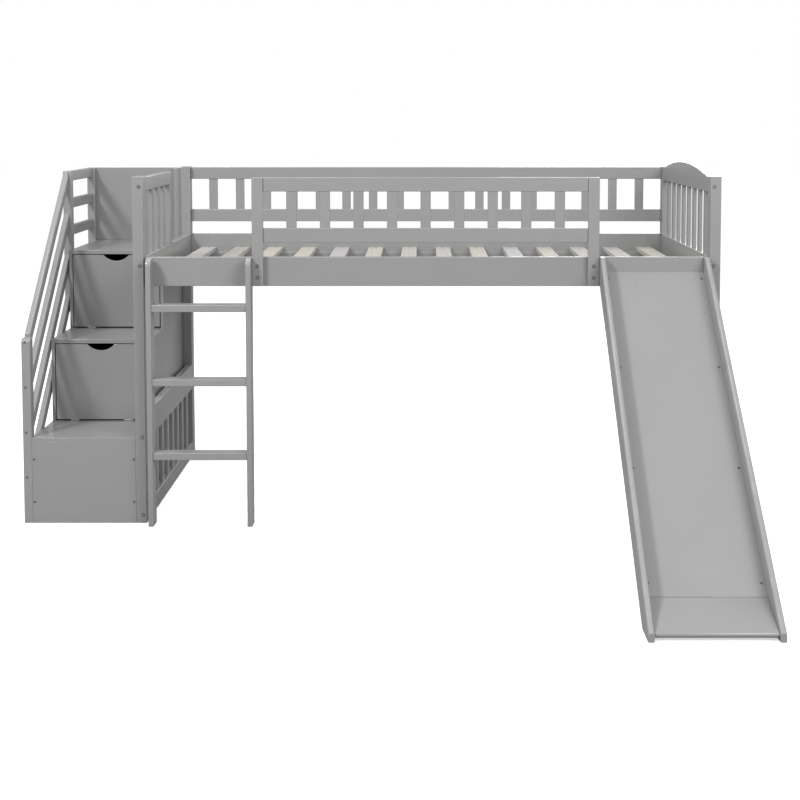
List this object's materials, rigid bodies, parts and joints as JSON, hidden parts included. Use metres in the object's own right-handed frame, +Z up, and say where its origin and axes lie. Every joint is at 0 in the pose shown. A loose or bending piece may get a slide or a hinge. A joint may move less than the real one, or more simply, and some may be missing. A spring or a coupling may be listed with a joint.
{
  "type": "loft bed",
  "caption": "Low loft bed with guard rails, storage stairs with drop-front doors, a ladder and a straight slide.",
  "frame": {"origin": "bottom centre of the whole object's box, on the floor", "axes": "+X along the bed towards the headboard, +Y from the front, where the ladder and slide are, to the rear, +Z up"},
  "size_m": [2.386, 2.221, 1.228],
  "materials": {
    "painted_wood": "satin grey paint",
    "painted_panel": "satin grey paint on board",
    "bare_wood": "planed, unpainted",
    "dark_steel": "dark zinc",
    "catch_plastic": "white moulded"
  },
  "bodies": {
    "bed_frame": {"barrel_nuts": "dark_steel", "bed_slats": "bare_wood", "centre_beam": "bare_wood", "door_catches": "catch_plastic", "fixed_hinge_leaves": "dark_steel", "frame_bolts": "dark_steel", "front_guard_lower_board": "painted_wood", "front_guard_posts": "painted_wood", "front_guard_slats": "painted_wood", "front_guard_top_board": "painted_wood", "front_left_post": "painted_wood", "front_right_post": "painted_wood", "front_side_rail": "painted_wood", "headboard_arch_rail": "painted_wood", "headboard_slats": "painted_wood", "ladder_rails": "painted_wood", "ladder_rungs": "painted_wood", "left_end_rail": "painted_wood", "left_guard_end_post": "painted_wood", "left_guard_slats": "painted_wood", "left_guard_top_rail": "painted_wood", "lower_end_foot_rails": "painted_wood", "lower_end_slats": "painted_wood", "lower_end_top_rails": "painted_wood", "rear_guard_middle_board": "painted_wood", "rear_guard_slats": "painted_wood", "rear_guard_top_board": "painted_wood", "rear_left_post": "painted_wood", "rear_right_post": "painted_wood", "rear_side_rail": "painted_wood", "right_end_rail": "painted_wood", "slat_cleats": "painted_wood", "slide_battens": "painted_wood", "slide_landing": "painted_panel", "slide_panel": "painted_panel", "slide_side_boards": "painted_wood", "slide_top_board": "painted_wood", "stair_back_panel": "painted_panel", "stair_front_panel": "painted_panel", "stair_handrails": "painted_wood", "stair_lower_sides": "painted_panel", "stair_lower_tread": "painted_panel", "stair_middle_sides": "painted_panel", "stair_middle_tread": "painted_panel", "stair_platform_back": "painted_panel", "stair_rear_left_post": "painted_wood", "stair_rear_right_post": "painted_wood", "stair_short_post": "painted_wood", "stair_side_boards": "painted_wood", "stair_tall_post": "painted_wood", "stair_upper_sides": "painted_panel", "stair_upper_tread": "painted_panel", "wood_screws": "dark_steel"},
    "lower_door": {"lower_flap_door": "painted_panel", "lower_door_hinge_leaves": "dark_steel", "lower_door_strike": "dark_steel"},
    "upper_door": {"upper_flap_door": "painted_panel", "upper_door_hinge_leaves": "dark_steel", "upper_door_strike": "dark_steel"}
  },
  "joints": [
    {"name": "lower_door_hinge", "type": "hinge", "parent": "bed_frame", "child": "lower_door", "pos_m": [-0.985, 0.33247, 0.3], "axis": [1, 0, 0], "range_deg": [0, 90]},
    {"name": "upper_door_hinge", "type": "hinge", "parent": "bed_frame", "child": "upper_door", "pos_m": [-0.985, 0.61947, 0.5975], "axis": [1, 0, 0], "range_deg": [0, 90]}
  ]
}
